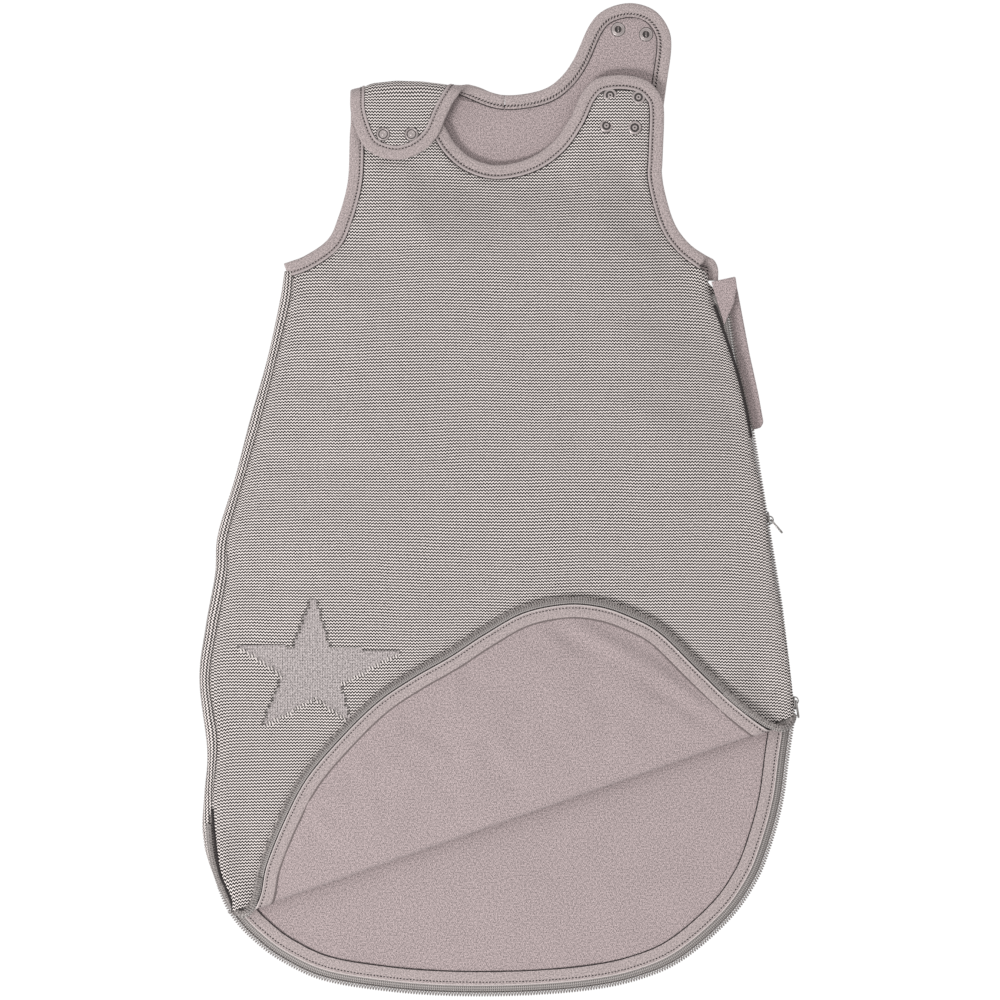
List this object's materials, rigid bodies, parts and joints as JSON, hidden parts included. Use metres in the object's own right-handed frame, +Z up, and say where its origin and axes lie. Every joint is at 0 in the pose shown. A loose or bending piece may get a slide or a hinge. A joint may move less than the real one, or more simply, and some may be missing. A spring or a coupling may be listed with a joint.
{
  "type": "baby sleeping bag",
  "caption": "Sleeveless knitted baby sleeping bag lying open on its back, with snap straps, a two-way side zip and its lower front folded up.",
  "frame": {"origin": "middle of the bag's outline, on the surface that it lies on", "axes": "+Y towards the shoulders, +X towards the zip side, +Z up from the back towards the front"},
  "size_m": [0.4602, 0.7644, 0.0245],
  "materials": {
    "knit": "fine purl knit, matt, with a stocking-stitch star",
    "jersey": "soft smooth jersey, matt",
    "binding": "folded jersey tape with a line of topstitching",
    "facing": "jersey strip with a line of topstitching",
    "tape": "woven zip tape",
    "coil": "coiled nylon teeth",
    "snap": "satin, in the colour of the cloth",
    "slider": "plain plated metal"
  },
  "bodies": {
    "bag": {"back_outer": "knit", "front_outer": "knit", "back_lining": "jersey", "front_lining": "jersey", "wind_flap": "jersey", "zip_garage": "jersey", "front_binding": "binding", "left_armhole_back_binding": "binding", "back_neck_binding": "binding", "right_armhole_back_binding": "binding", "back_facing": "facing", "front_facing": "facing", "back_zip_tape": "tape", "front_zip_tape": "tape", "front_zip_tape_left": "tape", "back_zip_coil": "coil", "front_zip_coil": "coil", "front_zip_coil_left": "coil", "left_lower_snap_stud_1": "snap", "left_lower_snap_ring_1": "snap", "left_upper_snap_stud_1": "snap", "left_upper_snap_ring_1": "snap", "left_lower_snap_stud_2": "snap", "left_lower_snap_ring_2": "snap", "left_upper_snap_stud_2": "snap", "left_upper_snap_ring_2": "snap", "right_lower_snap_stud_1": "snap", "right_lower_snap_ring_1": "snap", "right_upper_snap_stud_1": "snap", "right_upper_snap_ring_1": "snap", "right_lower_snap_stud_2": "snap", "right_lower_snap_ring_2": "snap", "right_upper_snap_stud_2": "snap", "right_upper_snap_ring_2": "snap"},
    "left_strap": {"left_strap_outer": "knit", "left_strap_lining": "jersey", "left_strap_binding": "binding", "left_snap_cap_1": "snap", "left_snap_socket_1": "snap", "left_snap_cap_2": "snap", "left_snap_socket_2": "snap"},
    "right_strap": {"right_strap_outer": "knit", "right_strap_lining": "jersey", "right_strap_binding": "binding", "right_snap_cap_1": "snap", "right_snap_socket_1": "snap", "right_snap_cap_2": "snap", "right_snap_socket_2": "snap"},
    "lower_front": {"flap_outer": "knit", "flap_lining": "jersey", "flap_facing": "facing", "flap_zip_tape": "tape", "flap_zip_coil": "coil"},
    "upper_slider": {"upper_slider": "slider"},
    "upper_slider_pull": {"upper_slider_pull": "slider"},
    "lower_slider": {"lower_slider": "slider"},
    "lower_slider_pull": {"lower_slider_pull": "slider"}
  },
  "joints": [
    {"name": "left_strap_fold", "type": "hinge", "parent": "bag", "child": "left_strap", "pos_m": [-0.079, 0.3172, 0.0095], "axis": [-1, 0, 0], "range_deg": [0, 180]},
    {"name": "right_strap_fold", "type": "hinge", "parent": "bag", "child": "right_strap", "pos_m": [0.0966, 0.3229, 0.0095], "axis": [0.9925, -0.1219, 0], "range_deg": [0, 180]},
    {"name": "lower_front_fold", "type": "hinge", "parent": "bag", "child": "lower_front", "pos_m": [0.0083, -0.2425, 0.0127], "axis": [0.9444, 0.3289, 0], "range_deg": [0, 180]},
    {"name": "upper_slider_run", "type": "slide", "parent": "bag", "child": "upper_slider", "axis": [-0.1608, 0.987, 0], "range_m": [-0.048, 0.06]},
    {"name": "lower_slider_run", "type": "slide", "parent": "bag", "child": "lower_slider", "axis": [-0.1155, 0.9933, 0], "range_m": [0, 0.05]},
    {"name": "upper_pull_swing", "type": "hinge", "parent": "upper_slider", "child": "upper_slider_pull", "pos_m": [0.2085, -0.01607, 0.0055], "axis": [0, 0, 1], "range_deg": [-29, 145]},
    {"name": "lower_pull_swing", "type": "hinge", "parent": "lower_slider", "child": "lower_slider_pull", "pos_m": [0.22773, -0.15513, 0.0055], "axis": [0, 0, 1], "range_deg": [-1, 174]}
  ]
}
